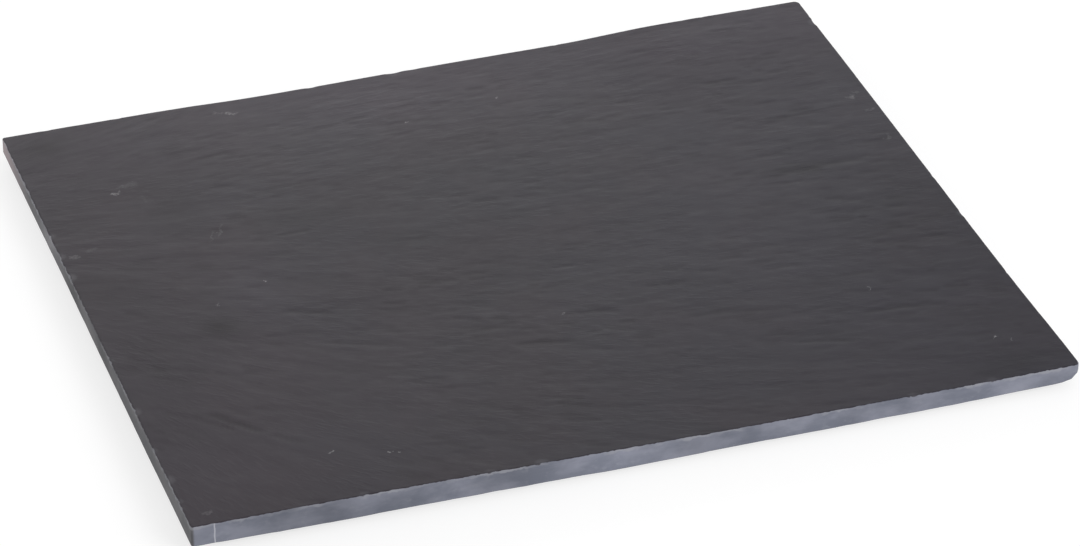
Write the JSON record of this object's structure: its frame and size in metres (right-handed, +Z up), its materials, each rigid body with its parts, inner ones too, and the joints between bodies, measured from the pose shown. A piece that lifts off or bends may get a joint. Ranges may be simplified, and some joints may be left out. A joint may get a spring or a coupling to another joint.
{
  "type": "stone slab",
  "caption": "Thin rectangular slab of dark split slate with sawn edges, on stick-on rubber foot pads: a hard, flat base for cutting, punching and skiving leather.",
  "frame": {"origin": "centre of the footprint, on the surface that the foot pads stand on", "axes": "+X along the slab's length to the right, +Y towards its back edge, +Z up out of the work face"},
  "size_m": [0.3, 0.255, 0.0109],
  "materials": {
    "stone": "matte",
    "pad_rubber": "matte",
    "pad_tape": "matte"
  },
  "bodies": {
    "root": {"stone_slab": "stone", "foot_pad_front_left": "pad_rubber", "foot_pad_front_right": "pad_rubber", "foot_pad_back_right": "pad_rubber", "foot_pad_back_left": "pad_rubber", "tape_disc_front_left": "pad_tape", "tape_disc_front_right": "pad_tape", "tape_disc_back_right": "pad_tape", "tape_disc_back_left": "pad_tape"}
  },
  "joints": []
}
